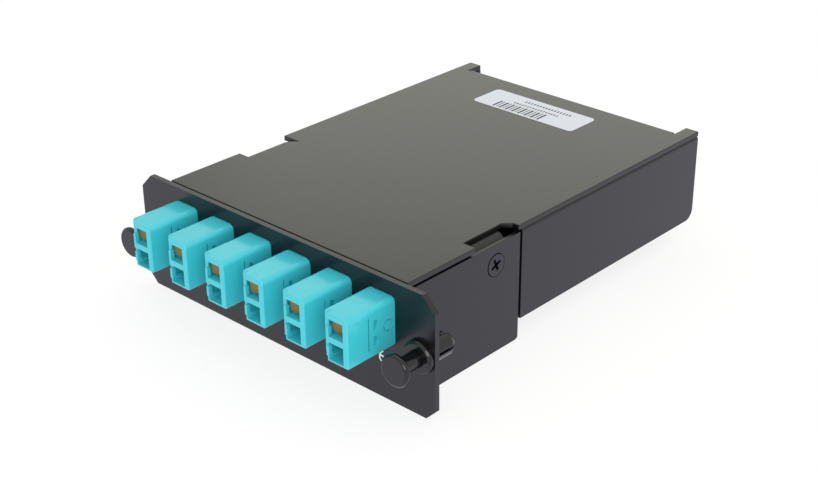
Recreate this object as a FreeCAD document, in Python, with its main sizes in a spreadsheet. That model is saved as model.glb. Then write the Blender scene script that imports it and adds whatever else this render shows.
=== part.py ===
"""Fibre cassette: six LC duplex ports on a folded steel front, one MPO port at the rear.

Every piece is drawn in the cassette's own frame: X runs along the face plate, Y = 0 is the
plate's front face with +Y towards the rear, and Z = 0 is the plate's lower edge. The pieces'
Placement then moves Y so that the origin lies under the middle of the whole cassette.
"""
import FreeCAD, Part
import math
import os
import Sketcher

V = FreeCAD.Vector

DIMENSIONS = {
    # face plate
    "plate_end": 10.4,
    "plate_height": 33.5,
    "plate_sheet": 1.5,
    "top_chamfer": 4.0,
    "bottom_chamfer": 2.9,
    # folded shell
    "shell_width": 87.2,
    "side_sheet": 1.2,
    "inner_bend": 0.4,
    "sheet_gap": 0.1,
    # front bracket
    "wing_length": 42.5,
    "wing_top_gap": 0.6,
    "wing_corner": 3.0,
    "wing_screw_setback": 9.5,
    "wing_screw_drop": 5.9,
    # rear tray
    "tray_clearance": 0.8,
    "tray_floor_height": 5.75,
    "tray_corner": 3.2,
    "tray_front_gap": 0.3,
    "flange_width": 6.0,
    "return_height": 4.0,
    # top cover
    "cover_sheet": 1.5,
    "cover_front_gap": 0.5,
    "cover_depth": 119.3,
    "ear_length": 4.3,
    "ear_width": 4.3,
    "relief_width": 0.8,
    "relief_length": 1.8,
    "notch_end_gap": 0.7,
    "notch_length": 16.9,
    "notch_depth": 4.0,
    "notch_chamfer": 2.0,
    "tab_start_gap": 1.0,
    "tab_end_gap": 3.5,
    "tab_radius": 3.8,
    "cover_skirt_gap": 0.3,
    # LC duplex adapters
    "adapter_count": 6,
    "row_margin": 7.6,
    "row_offset": 0.55,
    "adapter_width": 9.1,
    "adapter_height": 13.0,
    "adapter_top_gap": 2.4,
    "adapter_reach": 15.9,
    "adapter_tail": 9.5,
    "adapter_clearance": 0.15,
    "adapter_corner": 1.4,
    "adapter_edge": 0.4,
    "port_width": 4.8,
    "port_height": 4.7,
    "port_pitch": 6.25,
    "port_lip": 0.6,
    "port_depth": 10.5,
    "latch_wall": 1.2,
    "latch_slot": 1.6,
    "latch_setback": 1.8,
    "snout_wall": 0.35,
    "key_height": 0.8,
    "catch_width": 0.8,
    "catch_depth": 1.2,
    "catch_height": 3.6,
    "septum": 4.0,
    "septum_clearance": 0.05,
    "holder_radius": 1.5,
    "holder_length": 2.2,
    "sleeve_radius": 0.8,
    "sleeve_bore": 0.64,
    "sleeve_length": 6.8,
    "ferrule_radius": 0.62,
    "seam_setback": 6.85,
    "seam_width": 0.35,
    "seam_height": 9.0,
    "seam_bottom": 1.9,
    "mark_depth": 0.35,
    "dimple_radius": 1.2,
    "dimple_setback": 9.4,
    "dimple_pitch": 4.45,
    "dimple_bottom": 4.15,
    "ring_radius": 1.6,
    "ring_width": 0.35,
    "ring_setback": 13.6,
    "ring_height": 6.5,
    "ring_depth": 0.15,
    "leaf_sheet": 0.2,
    "leaf_length": 6.5,
    "leaf_margin": 0.35,
    "leaf_setback": 2.2,
    # inner LC plugs
    "plug_size": 4.5,
    "plug_length": 14.0,
    "boot_length": 9.0,
    "boot_radius": 1.7,
    "fibre_radius": 0.45,
    # push-pull fasteners
    "fastener_inset": 4.7,
    "flange_radius": 4.5,
    "flange_sheet": 1.7,
    "stud_radius": 3.1,
    "stud_length": 8.0,
    "stud_slot": 0.8,
    "stud_taper": 0.6,
    "stud_wall": 0.85,
    "plunger_clearance": 0.05,
    "plunger_head_radius": 4.3,
    "plunger_head": 1.8,
    "plunger_travel": 5.6,
    "plunger_stop_gap": 0.3,
    # wing screws
    "screw_head_radius": 3.3,
    "screw_radius": 1.75,
    "screw_length": 5.6,
    "screw_recess": 1.2,
    "screw_clearance": 0.35,
    "nut_radius": 2.6,
    "nut_length": 2.0,
    "nut_clearance": 0.05,
    # MPO adapter and plug
    "mpo_offset": -22.0,
    "mpo_height": 19.6,
    "mpo_width": 14.4,
    "mpo_body_height": 9.7,
    "mpo_wall": 0.9,
    "mpo_reach": 10.2,
    "mpo_tail": 13.0,
    "mpo_flange_width": 21.0,
    "mpo_flange_sheet": 1.6,
    "mpo_port_depth": 10.5,
    "mpo_plug_length": 24.0,
    "mpo_boot_length": 8.0,
    "mpo_clearance": 0.15,
    "ferrule_width": 6.4,
    "ferrule_height": 2.5,
    # fibre storage
    "loop_width": 50.0,
    "loop_straight": 4.0,
    "loop_corner": 18.0,
    "loop_rear_gap": 34.3,
    "loop_radius": 1.6,
    "lead_clearance": 1.0,
    "guide_sheet": 1.2,
    "guide_height": 8.0,
    "guide_clearance": 0.2,
    "tab_width": 6.0,
    # label on the cover
    "label_width": 37.5,
    "label_depth": 12.4,
    "label_corner": 1.5,
    "label_sheet": 0.1,
    "label_offset": -2.6,
    "label_rear_gap": 8.3,
}

doc = FreeCAD.newDocument("fibre_cassette")
sheet = doc.addObject("Spreadsheet::Sheet", "Sizes")
for row, (alias, number) in enumerate(DIMENSIONS.items(), start=1):
    sheet.set(f"A{row}", alias)
    sheet.set(f"B{row}", str(number))
    sheet.setAlias(f"B{row}", alias)
doc.recompute()


def bound(text):
    """Turn each alias in an expression into its cell in the sheet."""
    words = []
    word = ""
    for letter in text + " ":
        if letter.isalnum() or letter == "_":
            word += letter
            continue
        words.append("Sizes." + word if word in DIMENSIONS else word)
        words.append(letter)
        word = ""
    return "".join(words).strip()


def size(text):
    """The number that an expression over the sheet gives."""
    value = sheet.evalExpression(bound(text).replace("Sizes.", ""))
    return float(getattr(value, "Value", value))


# Places that several pieces share, as expressions over the sheet.
SHELL = "(shell_width / 2)"
BRACKET_BACK = "(plate_sheet + side_sheet)"
WING_END = "(plate_sheet + wing_length)"
COVER_TOP = "plate_height"
COVER_UNDER = "(plate_height - cover_sheet)"
WING_TOP = "(plate_height - cover_sheet - wing_top_gap)"
COVER_FRONT = "(plate_sheet + cover_front_gap)"
COVER_REAR = "(plate_sheet + cover_front_gap + cover_depth)"
NOTCH_END = "(plate_sheet + wing_length - notch_end_gap)"
NOTCH_START = "(plate_sheet + wing_length - notch_end_gap - notch_length)"
TRAY_STEP = "(plate_sheet + wing_length + tray_clearance)"
FLOOR_TOP = "(tray_floor_height + side_sheet)"
SHELL_REAR = "(plate_sheet + cover_front_gap + cover_depth + ear_length)"
FRONT_WALL = "(shell_width / 2 - side_sheet - sheet_gap)"
SCREW_Y = "(plate_sheet + wing_length - wing_screw_setback)"
SCREW_Z = "(plate_height - cover_sheet - wing_top_gap - wing_screw_drop)"
BEND = "(inner_bend + side_sheet)"
PLATE_HALF = "(shell_width / 2 + plate_end)"
FASTENER_X = "(shell_width / 2 + plate_end - fastener_inset)"
FASTENER_Z = "(plate_height / 2)"
PLUNGER_RADIUS = "(stud_radius - stud_wall - plunger_clearance)"
ROW_PITCH = "((shell_width - 2 * row_margin) / (adapter_count - 1))"
ADAPTER_BOTTOM = "(plate_height - cover_sheet - adapter_top_gap - adapter_height)"
ADAPTER_BACK = "(plate_sheet + adapter_tail)"
SEPTUM_FRONT = "(port_depth - adapter_reach)"
SEPTUM_BACK = "(port_depth - adapter_reach + septum)"
PORT_LEFT = "(latch_wall + latch_slot - adapter_width / 2)"
SLOT_LOW = "(port_lip + key_height)"
MPO_PORT_WIDTH = "(mpo_width - 2 * mpo_wall)"
MPO_PORT_HEIGHT = "(mpo_body_height - 2 * mpo_wall)"
LOOP_LENGTH = "(2 * loop_corner + loop_straight)"
LOOP_FRONT = "(plate_sheet + cover_front_gap + cover_depth - loop_rear_gap - 2 * loop_corner - loop_straight)"
MPO_REAR = "(plate_sheet + cover_front_gap + cover_depth + mpo_reach)"
MPO_FRONT = "(plate_sheet + cover_front_gap + cover_depth - side_sheet - mpo_tail)"
ORIGIN_Y = "(-(plate_sheet + cover_front_gap + cover_depth + mpo_reach - adapter_reach) / 2)"


def body(name, x="0", z="0"):
    """A new PartDesign body whose Placement puts it in the cassette."""
    made = doc.addObject("PartDesign::Body", name)
    made.Label = name
    place(made, x, z)
    return made


def place(piece, x="0", z="0"):
    piece.setExpression("Placement.Base.x", bound(x))
    piece.setExpression("Placement.Base.y", bound(ORIGIN_Y))
    piece.setExpression("Placement.Base.z", bound(z))
    return piece


NORMALS = {"XY_Plane": 1, "XZ_Plane": -1, "YZ_Plane": 1}


def sketch_on(owner, name, plane, start):
    """An empty sketch on one of the body's own planes, moved along that plane's axis."""
    sketch = owner.newObject("Sketcher::SketchObject", name)
    base = [item for item in owner.Origin.OriginFeatures if item.Role == plane][0]
    sketch.AttachmentSupport = [(base, "")]
    sketch.MapMode = "FlatFace"
    offset = start if NORMALS[plane] > 0 else f"-({start})"
    sketch.setExpression("AttachmentOffset.Base.z", bound(offset))
    return sketch


def polygon(sketch, points):
    """A closed outline whose corners are held at expressions over the sheet."""
    values = [V(size(across), size(up), 0) for across, up in points]
    first = sketch.GeometryCount
    count = len(points)
    for index in range(count):
        sketch.addGeometry(Part.LineSegment(values[index], values[(index + 1) % count]), False)
    for index in range(count):
        following = first + (index + 1) % count
        sketch.addConstraint(Sketcher.Constraint("Coincident", first + index, 2, following, 1))
    for index, (across, up) in enumerate(points):
        for kind, text, value in (("DistanceX", across, values[index].x),
                                  ("DistanceY", up, values[index].y)):
            rule = Sketcher.Constraint(kind, -1, 1, first + index, 1, value)
            number = sketch.addConstraint(rule)
            sketch.setExpression(f"Constraints[{number}]", bound(text))


def rectangle(sketch, left, right, low, high):
    polygon(sketch, [(left, low), (right, low), (right, high), (left, high)])


def circle(sketch, across, up, radius):
    middle = V(size(across), size(up), 0)
    index = sketch.addGeometry(Part.Circle(middle, V(0, 0, 1), size(radius)), False)
    rules = [
        (Sketcher.Constraint("Radius", index, size(radius)), radius),
        (Sketcher.Constraint("DistanceX", -1, 1, index, 3, middle.x), across),
        (Sketcher.Constraint("DistanceY", -1, 1, index, 3, middle.y), up),
    ]
    for rule, text in rules:
        number = sketch.addConstraint(rule)
        sketch.setExpression(f"Constraints[{number}]", bound(text))


def extrude(owner, kind, sketch, name, depth, forward):
    """Pad or Pocket a sketch towards the plus (forward) or minus side of its axis."""
    feature = owner.newObject("PartDesign::" + kind, name)
    feature.Profile = sketch
    feature.setExpression("Length", bound(depth))
    along_normal = forward == (sketch.Placement.Rotation.multVec(V(0, 0, 1)) * V(1, 1, 1) > 0)
    feature.Reversed = along_normal if kind == "Pocket" else not along_normal
    owner.Tip = feature
    doc.recompute()
    return feature


def pad(owner, name, plane, start, depth, draw):
    sketch = sketch_on(owner, name + "_outline", plane, start)
    draw(sketch)
    doc.recompute()
    return extrude(owner, "Pad", sketch, name, depth, True)


def pocket(owner, name, plane, start, depth, draw):
    """Cut an outline from start towards plus, and make sure that it cut something."""
    before = owner.Shape.Volume
    sketch = sketch_on(owner, name + "_outline", plane, start)
    draw(sketch)
    doc.recompute()
    feature = extrude(owner, "Pocket", sketch, name, depth, True)
    if owner.Shape.Volume > before - 1e-6:
        raise RuntimeError(name + " cuts nothing")
    return feature


def slab(owner, kind, name, plane, start, depth, box):
    """A rectangular pad or pocket; box is left, right, low, high."""
    return kind(owner, name, plane, start, depth, lambda sketch: rectangle(sketch, *box))


def edges_where(shape, test):
    """Names of the edges whose two ends both pass the test."""
    names = []
    for index, edge in enumerate(shape.Edges, start=1):
        if len(edge.Vertexes) == 2 and all(test(vertex.Point) for vertex in edge.Vertexes):
            names.append(f"Edge{index}")
    return names


def straight(edge, axis):
    """Whether an edge runs along one axis, given as 0, 1 or 2."""
    first, last = [vertex.Point for vertex in edge.Vertexes]
    run = last - first
    return abs(abs(run[axis]) - run.Length) < 1e-6


def edges_along(shape, axis, test):
    names = edges_where(shape, test)
    return [name for name in names if straight(shape.Edges[int(name[4:]) - 1], axis)]


def round_edges(owner, name, radius, axis, test, kind="Fillet"):
    """Fillet or chamfer the straight edges along an axis that pass the test."""
    base = owner.Tip
    names = edges_along(base.Shape, axis, test)
    if not names:
        raise RuntimeError(name + " finds no edge")
    feature = owner.newObject("PartDesign::" + kind, name)
    feature.Base = (base, names)
    feature.setExpression("Radius" if kind == "Fillet" else "Size", bound(radius))
    owner.Tip = feature
    doc.recompute()
    return feature


def near(value, text):
    return abs(value - size(text)) < 1e-4


def adapter_x(number):
    """Middle of one of the row of LC adapters, counted from 1."""
    return f"(({number} - (adapter_count + 1) / 2) * {ROW_PITCH} + row_offset)"


def adapter_openings(sketch):
    for number in range(1, DIMENSIONS["adapter_count"] + 1):
        middle = adapter_x(number)
        half = "(adapter_width / 2 + adapter_clearance)"
        rectangle(sketch, f"{middle} - {half}", f"{middle} + {half}",
                  f"{ADAPTER_BOTTOM} - adapter_clearance",
                  f"{ADAPTER_BOTTOM} + adapter_height + adapter_clearance")


def face_plate():
    """Flat plate with cut corners, six adapter openings and a fastener hole at each end."""
    plate = body("face_plate")
    half = PLATE_HALF
    right = [
        (f"{half} - bottom_chamfer", "0"),
        (half, "bottom_chamfer"),
        (half, "plate_height - top_chamfer"),
        (f"{half} - top_chamfer", "plate_height"),
    ]
    left = [(f"-({across})", up) for across, up in reversed(right)]
    pad(plate, "plate_sheet_metal", "XZ_Plane", "0", "plate_sheet",
        lambda sketch: polygon(sketch, right + left))

    def openings(sketch):
        adapter_openings(sketch)
        for side in ("", "-"):
            circle(sketch, f"{side}{FASTENER_X}", FASTENER_Z,
                   "stud_radius + plunger_clearance")
    pocket(plate, "plate_openings", "XZ_Plane", "0", "plate_sheet", openings)
    return plate


def front_bracket():
    """Folded U: a web behind the plate and a wing back along each side."""
    bracket = body("front_bracket_fold")
    slab(bracket, pad, "bracket_block", "XY_Plane", "0", WING_TOP,
         (f"-{SHELL}", SHELL, "plate_sheet", WING_END))
    slab(bracket, pocket, "bracket_inside", "XY_Plane", "0", WING_TOP,
         (f"-({SHELL} - side_sheet)", f"{SHELL} - side_sheet", BRACKET_BACK, f"{WING_END} + 1"))
    pocket(bracket, "bracket_openings", "XZ_Plane", "plate_sheet", "side_sheet",
           adapter_openings)
    round_edges(bracket, "wing_corner_rounds", "wing_corner", 0,
                lambda point: near(point.y, WING_END) and near(point.z, "0"))
    round_edges(bracket, "bracket_bends", BEND, 2,
                lambda point: near(abs(point.x), SHELL) and near(point.y, "plate_sheet"))
    round_edges(bracket, "bracket_inner_bends", "inner_bend", 2,
                lambda point: near(abs(point.x), f"{SHELL} - side_sheet")
                and near(point.y, BRACKET_BACK))
    sinks = [screw_cone(side, "wing_sink", "sheet_gap / 2") for side in (1, -1)]
    return cut("front_bracket", bracket, sinks)


def cut(name, base, tools):
    """Part::Cut of a piece by one or more others, all kept in the document's tree."""
    tool = tools[0]
    if len(tools) > 1:
        tool = doc.addObject("Part::MultiFuse", name + "_tools")
        tool.Shapes = tools
    made = doc.addObject("Part::Cut", name)
    made.Base = base
    made.Tool = tool
    made.Label = name
    doc.recompute()
    return made


def fuse(name, pieces):
    made = doc.addObject("Part::MultiFuse", name)
    made.Shapes = pieces
    made.Label = name
    doc.recompute()
    return made


def block(name, low, high):
    """A Part::Box between two corners given as expressions, in the shared frame."""
    made = doc.addObject("Part::Box", name)
    for prop, axis, first, last in zip(("Length", "Width", "Height"), "xyz", low, high):
        made.setExpression(prop, bound(f"({last}) - ({first})"))
        shift = f" + {ORIGIN_Y}" if axis == "y" else ""
        made.setExpression("Placement.Base." + axis, bound(f"{first}{shift}"))
    return made


TURNS = {
    "x": FreeCAD.Rotation(V(0, 1, 0), 90),
    "-x": FreeCAD.Rotation(V(0, 1, 0), -90),
    "y": FreeCAD.Rotation(V(1, 0, 0), -90),
    "-y": FreeCAD.Rotation(V(1, 0, 0), 90),
    "z": FreeCAD.Rotation(),
}


def round_bar(name, start, direction, length, radius, end_radius=None):
    """A cylinder, or a cone where end_radius is given, from a start point along an axis."""
    kind = "Part::Cylinder" if end_radius is None else "Part::Cone"
    made = doc.addObject(kind, name)
    made.Placement = FreeCAD.Placement(V(0, 0, 0), TURNS[direction])
    if end_radius is None:
        made.setExpression("Radius", bound(radius))
    else:
        made.setExpression("Radius1", bound(radius))
        made.setExpression("Radius2", bound(end_radius))
    made.setExpression("Height", bound(length))
    for axis, text in zip("xyz", start):
        shift = f" + {ORIGIN_Y}" if axis == "y" else ""
        made.setExpression("Placement.Base." + axis, bound(f"{text}{shift}"))
    return made


def screw_cone(side, name, grow):
    """The 90 degree countersink of a wing screw; grow opens it all round."""
    sign = "" if side > 0 else "-"
    inward = "-x" if side > 0 else "x"
    return round_bar(f"{name}_{'right' if side > 0 else 'left'}",
                     (f"{sign}{SHELL}", SCREW_Y, SCREW_Z), inward,
                     "screw_head_radius - screw_radius",
                     f"screw_head_radius + {grow}", f"screw_radius + {grow}")


def rear_tray():
    """Folded tray: floor, two side walls that step in behind the wings, and top flanges."""
    tray = body("rear_tray")
    inside = f"({SHELL} - side_sheet)"
    front_inside = f"({FRONT_WALL} - side_sheet)"
    front = f"({BRACKET_BACK} + tray_front_gap)"
    step_back = f"({TRAY_STEP} + side_sheet)"
    under_flange = f"({COVER_UNDER} - side_sheet)"
    return_front = f"({SHELL_REAR} - side_sheet)"
    tab_start = f"({NOTCH_START} + tab_start_gap)"
    tab_end = f"({NOTCH_END} - tab_end_gap)"
    wall_top = f"({COVER_UNDER} - tab_radius)"
    height = f"{COVER_UNDER} - tray_floor_height"

    slab(tray, pad, "tray_rear", "XY_Plane", "tray_floor_height", height,
         (f"-{SHELL}", SHELL, TRAY_STEP, SHELL_REAR))
    slab(tray, pad, "tray_front", "XY_Plane", "tray_floor_height", height,
         (f"-{FRONT_WALL}", FRONT_WALL, front, f"{TRAY_STEP} + side_sheet / 2"))
    slab(tray, pocket, "tray_rear_inside", "XY_Plane", FLOOR_TOP, f"{under_flange} - {FLOOR_TOP}",
         (f"-{inside}", inside, step_back, return_front))
    slab(tray, pocket, "tray_front_inside", "XY_Plane", FLOOR_TOP,
         f"{under_flange} - {FLOOR_TOP}",
         (f"-{front_inside}", front_inside, f"{front} - 1", step_back))
    slab(tray, pocket, "tray_mouth", "XY_Plane", under_flange, "side_sheet",
         (f"-({SHELL} - flange_width)", f"{SHELL} - flange_width", f"{front} - 1",
          f"{SHELL_REAR} + 1"))
    for label, low, high in (("near", f"{front} - 1", tab_start), ("far", tab_end, TRAY_STEP)):
        slab(tray, pocket, f"tray_low_wall_{label}", "XY_Plane", wall_top,
             "tab_radius", (f"-{SHELL}", SHELL, low, high))
    slab(tray, pocket, "tray_flange_end", "XY_Plane", under_flange, "side_sheet",
         (f"-{inside}", inside, f"{COVER_REAR} - side_sheet - cover_skirt_gap", return_front))
    slab(tray, pocket, "tray_rear_gap", "XY_Plane", "tray_floor_height", height,
         (f"-({SHELL} - ear_width)", f"{SHELL} - ear_width", COVER_REAR, f"{SHELL_REAR} + 1"))
    slab(tray, pocket, "tray_ear_floor", "XY_Plane", "tray_floor_height", "return_height",
         (f"-{inside}", inside, COVER_REAR, f"{SHELL_REAR} + 1"))

    def screw_holes(sketch):
        circle(sketch, SCREW_Y, SCREW_Z,
               "screw_head_radius - side_sheet - sheet_gap + screw_clearance")
    pocket(tray, "tray_screw_holes", "YZ_Plane", f"-{SHELL}", "shell_width", screw_holes)

    round_edges(tray, "tray_rear_corner", "tray_corner", 0,
                lambda point: near(point.y, SHELL_REAR) and near(point.z, "tray_floor_height"))
    round_edges(tray, "tray_tab_curve", "tab_radius", 1,
                lambda point: near(abs(point.x), FRONT_WALL) and near(point.z, COVER_UNDER))
    round_edges(tray, "tray_tab_inner_curve", "tab_radius - side_sheet", 1,
                lambda point: near(abs(point.x), front_inside) and near(point.z, under_flange))
    round_edges(tray, "tray_top_bends", "side_sheet - sheet_gap", 1,
                lambda point: near(abs(point.x), SHELL) and near(point.z, COVER_UNDER))
    return tray


def top_cover():
    """Lid with a notch on each side, two rear ears and a skirt folded down at the rear."""
    cover = body("top_cover")
    inner_notch = f"({SHELL} - notch_depth)"
    ear = f"({SHELL} - ear_width)"
    right = [
        (SHELL, COVER_FRONT),
        (SHELL, NOTCH_START),
        (inner_notch, NOTCH_START),
        (inner_notch, f"{NOTCH_END} - notch_chamfer"),
        (f"{inner_notch} + notch_chamfer", NOTCH_END),
        (SHELL, NOTCH_END),
        (SHELL, SHELL_REAR),
        (ear, SHELL_REAR),
        (ear, COVER_REAR),
    ]
    left = [(f"-{across}", along) for across, along in reversed(right)]
    pad(cover, "cover_top", "XY_Plane", COVER_UNDER, "cover_sheet",
        lambda sketch: polygon(sketch, right + left))
    skirt = f"({ear} - relief_width)"
    slab(cover, pad, "cover_skirt", "XY_Plane", f"{FLOOR_TOP} + cover_skirt_gap",
         f"{COVER_UNDER} - {FLOOR_TOP} - cover_skirt_gap",
         (f"-{skirt}", skirt, f"{COVER_REAR} - side_sheet", COVER_REAR))

    def reliefs(sketch):
        for low, high in ((skirt, ear), (f"-{ear}", f"-{skirt}")):
            rectangle(sketch, low, high, f"{COVER_REAR} - relief_length", f"{COVER_REAR} + 1")
    pocket(cover, "cover_reliefs", "XY_Plane", COVER_UNDER, "cover_sheet", reliefs)
    half = "(mpo_width / 2 + mpo_clearance)"
    rise = "(mpo_body_height / 2 + mpo_clearance)"
    slab(cover, pocket, "cover_mpo_opening", "XZ_Plane", f"{COVER_REAR} - side_sheet",
         "side_sheet", (f"mpo_offset - {half}", f"mpo_offset + {half}",
                        f"mpo_height - {rise}", f"mpo_height + {rise}"))
    round_edges(cover, "cover_rear_bend", BEND, 0,
                lambda point: near(point.y, COVER_REAR) and near(point.z, COVER_TOP))
    return cover


def port_low(level):
    """Lower edge of the lower (0) or upper (1) port, above the adapter's bottom."""
    return f"(port_lip + {level} * port_pitch)"


def port_middle(level):
    return f"(port_lip + port_height / 2 + {level} * port_pitch)"


def lc_adapter(number):
    """Moulded duplex adapter shell: two square ports and a latch slot run right through."""
    adapter = body(f"lc_adapter_{number}", adapter_x(number), ADAPTER_BOTTOM)
    half = "(adapter_width / 2)"
    depth = f"adapter_reach + {ADAPTER_BACK}"
    slab(adapter, pad, f"adapter_body_{number}", "XZ_Plane", "-adapter_reach", depth,
         (f"-{half}", half, "0", "adapter_height"))
    round_edges(adapter, f"adapter_corners_{number}", "adapter_corner", 1,
                lambda point: near(point.z, "adapter_height") or near(point.x, f"-{half}"))
    round_edges(adapter, f"adapter_low_edge_{number}", "adapter_edge", 1,
                lambda point: near(point.x, half) and near(point.z, "0"))
    slab(adapter, pocket, f"latch_side_{number}", "XZ_Plane", "-adapter_reach", "latch_setback",
         (f"-{half} - 1", f"{PORT_LEFT} - snout_wall", "-1", "adapter_height + 1"))
    round_edges(adapter, f"adapter_front_round_{number}", "adapter_edge", 2,
                lambda point: near(point.x, half) and near(point.y, "-adapter_reach"))

    def ports(sketch):
        for level in (0, 1):
            rectangle(sketch, PORT_LEFT, f"{PORT_LEFT} + port_width",
                      port_low(level), f"{port_low(level)} + port_height")
    pocket(adapter, f"ports_{number}", "XZ_Plane", "-adapter_reach", depth, ports)
    slab(adapter, pocket, f"latch_slot_{number}", "XZ_Plane", "-adapter_reach", depth,
         (f"latch_wall - {half}", PORT_LEFT, SLOT_LOW, f"{port_low(1)} + port_height"))
    side_marks(adapter, number)
    return adapter


def side_marks(adapter, number):
    """Moulded seam, two round dimples and a gate ring on the adapter's right face."""
    start = "adapter_width / 2 - mark_depth"

    def seam(sketch):
        rectangle(sketch, "seam_setback - adapter_reach",
                  "seam_setback + seam_width - adapter_reach",
                  "seam_bottom", "seam_bottom + seam_height")
    pocket(adapter, f"side_seam_{number}", "YZ_Plane", start, "mark_depth", seam)

    def dimples(sketch):
        for level in (0, 1):
            circle(sketch, "dimple_setback - adapter_reach",
                   f"dimple_bottom + {level} * dimple_pitch", "dimple_radius")
    pocket(adapter, f"side_dimples_{number}", "YZ_Plane", start, "mark_depth", dimples)

    def ring(sketch):
        for radius in ("ring_radius", "ring_radius - ring_width"):
            circle(sketch, "ring_setback - adapter_reach", "ring_height", radius)
    pocket(adapter, f"gate_ring_{number}", "YZ_Plane", "adapter_width / 2 - ring_depth",
           "ring_depth", ring)


def part_shape(name, shape, z="0", x="0"):
    """A piece whose form only Part's own functions give, with its sizes from the sheet."""
    made = doc.addObject("Part::Feature", name)
    made.Label = name
    made.Shape = shape
    place(made, x, z)
    doc.recompute()
    return made


def port_inserts(number):
    """Inner mouldings of one adapter: two sleeve holders and the catches for the latches."""
    across = size(f"{PORT_LEFT} + port_width / 2")
    front = size(SEPTUM_FRONT)
    wide = size("port_width - 2 * septum_clearance")
    high = size("port_height - 2 * septum_clearance")
    boss = size("holder_length")
    whole = 2 * boss + size("septum")
    axis = V(0, 1, 0)
    lows = (size(SLOT_LOW), size(f"{port_low(1)} - port_lip"))
    inserts = []
    for level in (0, 1):
        middle = size(port_middle(level))
        start = V(across, front - boss, middle)
        wall = Part.makeBox(wide, size("septum"), high,
                            V(across - wide / 2, front, middle - high / 2))
        tube = Part.makeCylinder(size("holder_radius"), whole, start, axis)
        bore = Part.makeCylinder(size("sleeve_radius + plunger_clearance"), whole, start, axis)
        inserts.append(wall.fuse(tube).cut(bore))
        top = size(f"{port_low(level)} + catch_height")
        corner = V(size(f"{PORT_LEFT} - catch_width"), -size("adapter_reach"), lows[level])
        inserts.append(Part.makeBox(size("catch_width"), size("catch_depth"),
                                    top - lows[level], corner))
    return part_shape(f"port_inserts_{number}", Part.makeCompound(inserts),
                      ADAPTER_BOTTOM, adapter_x(number))


def alignment_sleeves(number):
    """The pair of split ceramic sleeves in one adapter."""
    tubes = []
    middle = size(SEPTUM_FRONT) + size("septum / 2")
    across = size(f"{PORT_LEFT} + port_width / 2")
    length = size("sleeve_length")
    slit = size("sleeve_radius - sleeve_bore")
    for level in (0, 1):
        start = V(across, middle - length / 2, size(port_middle(level)))
        outer = Part.makeCylinder(size("sleeve_radius"), length, start, V(0, 1, 0))
        inner = Part.makeCylinder(size("sleeve_bore"), length, start, V(0, 1, 0))
        split = Part.makeBox(size("sleeve_radius"), length, slit,
                             start - V(0, 0, slit / 2))
        tubes.append(outer.cut(inner).cut(split))
    return part_shape(f"alignment_sleeves_{number}", Part.makeCompound(tubes),
                      ADAPTER_BOTTOM, adapter_x(number))


def port_leaf(number):
    """Bronze shutter leaf of the upper port, pushed aside into the latch slot."""
    foot = size("latch_wall - adapter_width / 2")
    front = size("leaf_setback - adapter_reach")
    back = front + size("leaf_length")
    thick = size("leaf_sheet")
    lift = size("latch_slot / 2")
    high = size("port_height - 2 * leaf_margin")
    bend = front + size("leaf_length") / 3
    low = size(f"{port_low(1)} + leaf_margin")
    corners = [
        V(foot, front, low),
        V(foot + thick, front, low),
        V(foot + thick, bend, low),
        V(foot + thick + lift, back, low),
        V(foot + lift, back, low),
        V(foot, bend, low),
    ]
    face = Part.Face(Part.makePolygon(corners + corners[:1]))
    return part_shape(f"port_leaf_{number}", face.extrude(V(0, 0, high)),
                      ADAPTER_BOTTOM, adapter_x(number))


def lc_plugs(number):
    """The two pigtail plugs behind one adapter, each with its ferrule and boot."""
    across = size(f"{PORT_LEFT} + port_width / 2")
    front = size(SEPTUM_BACK) + size("holder_length") + size("plunger_stop_gap")
    back = front + size("plug_length")
    side = size("plug_size")
    plugs = []
    for level in (0, 1):
        middle = size(port_middle(level))
        shell = Part.makeBox(side, back - front, side,
                             V(across - side / 2, front, middle - side / 2))
        axis = V(0, 1, 0)
        ferrule_start = size(SEPTUM_FRONT) + size("septum / 2") + size("plunger_stop_gap")
        ferrule = Part.makeCylinder(size("ferrule_radius"), front - ferrule_start + side,
                                    V(across, ferrule_start, middle), axis)
        boot = Part.makeCone(size("boot_radius"), size("fibre_radius") * 2,
                             size("boot_length"), V(across, back, middle), axis)
        plugs.append(shell.fuse(ferrule).fuse(boot).removeSplitter())
    return part_shape(f"lc_plugs_{number}", Part.makeCompound(plugs),
                      ADAPTER_BOTTOM, adapter_x(number))


def revolved(name, x, profile):
    """A PartDesign revolution about the fastener's own axis, which runs along Y."""
    made = body(name, x, FASTENER_Z)
    sketch = sketch_on(made, name + "_profile", "XY_Plane", "0")
    polygon(sketch, profile)
    turn = made.newObject("PartDesign::Revolution", name + "_turned")
    turn.Profile = sketch
    turn.ReferenceAxis = (sketch, ["V_Axis"])
    turn.Angle = 360
    made.Tip = turn
    doc.recompute()
    return made


def grommet(side, x):
    """Nylon grommet: a flange on the plate and a stud split in four behind it."""
    bore = "(stud_radius - stud_wall)"
    end = "(plate_sheet + stud_length)"
    profile = [
        (bore, "-flange_sheet"),
        ("flange_radius - stud_taper", "-flange_sheet"),
        ("flange_radius", "-flange_sheet + stud_taper"),
        ("flange_radius", "0"),
        ("stud_radius", "0"),
        ("stud_radius", f"{end} - 2 * stud_taper"),
        ("stud_radius - stud_taper", end),
        (bore, end),
    ]
    made = revolved(f"grommet_{side}", x, profile)
    for index, plane in enumerate(("XY_Plane", "YZ_Plane")):
        half = "stud_slot / 2"
        box = ("-flange_radius", "flange_radius", "plate_sheet + stud_taper", f"{end} + 1")
        if plane == "YZ_Plane":
            box = (box[2], box[3], box[0], box[1])
        slab(made, pocket, f"grommet_slot_{side}_{index}", plane, f"-{half}", "stud_slot", box)
    return made


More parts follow.
